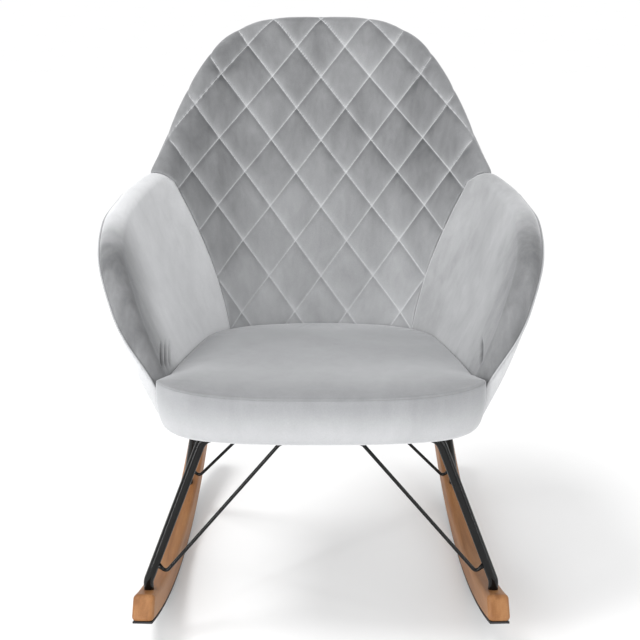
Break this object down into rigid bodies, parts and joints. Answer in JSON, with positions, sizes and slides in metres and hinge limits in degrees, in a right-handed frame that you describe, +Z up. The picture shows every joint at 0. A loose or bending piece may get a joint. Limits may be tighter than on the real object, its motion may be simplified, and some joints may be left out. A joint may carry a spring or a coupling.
{
  "type": "rocking chair",
  "caption": "Upholstered tub rocking chair with a diamond-quilted back, padded arms and bowed seat, on bent steel tube frames with wire braces and toed-in wooden rockers.",
  "frame": {"origin": "on the floor, midway between the two rockers and midway along their length", "axes": "+Z up; +X to the right for a viewer facing the seat; the seat faces -Y and the back is towards +Y"},
  "size_m": [0.7072, 0.6978, 0.9493],
  "materials": {
    "velvet": "short-pile silver-grey velvet",
    "foam": "soft open-cell foam",
    "cloth": "thin black non-woven cloth",
    "board": "raw plywood",
    "beech": "satin lacquered beech",
    "rubber": "matt black rubber",
    "black_steel": "semi-gloss black powder coat",
    "zinc": "bright zinc plate"
  },
  "bodies": {
    "root": {"back_pad": "velvet", "arm_pad_left": "velvet", "arm_pad_right": "velvet", "back_cover": "velvet", "side_cover_left": "velvet", "side_cover_right": "velvet", "shell_core": "board", "welt_left": "velvet", "welt_right": "velvet", "seat_cushion": "velvet", "seat_foam": "foam", "seat_boxing": "velvet", "seat_board": "board", "dust_cover": "cloth", "rail_left": "black_steel", "rail_right": "black_steel", "seat_bolt_front_left": "zinc", "tee_nut_front_left": "zinc", "seat_bolt_front_right": "zinc", "tee_nut_front_right": "zinc", "seat_bolt_rear_left": "zinc", "tee_nut_rear_left": "zinc", "seat_bolt_rear_right": "zinc", "tee_nut_rear_right": "zinc", "frame_front": "black_steel", "brace_front_left": "black_steel", "brace_front_right": "black_steel", "frame_rear": "black_steel", "brace_rear_left": "black_steel", "brace_rear_right": "black_steel", "rocker_left": "beech", "rocker_right": "beech", "rocker_strip_left": "rubber", "rocker_strip_right": "rubber", "rocker_bolt_front_left": "zinc", "rocker_bolt_front_right": "zinc", "tube_plug_front_left": "zinc", "tube_plug_front_right": "zinc", "rocker_bolt_rear_left": "zinc", "rocker_bolt_rear_right": "zinc", "tube_plug_rear_left": "zinc", "tube_plug_rear_right": "zinc"}
  },
  "joints": []
}
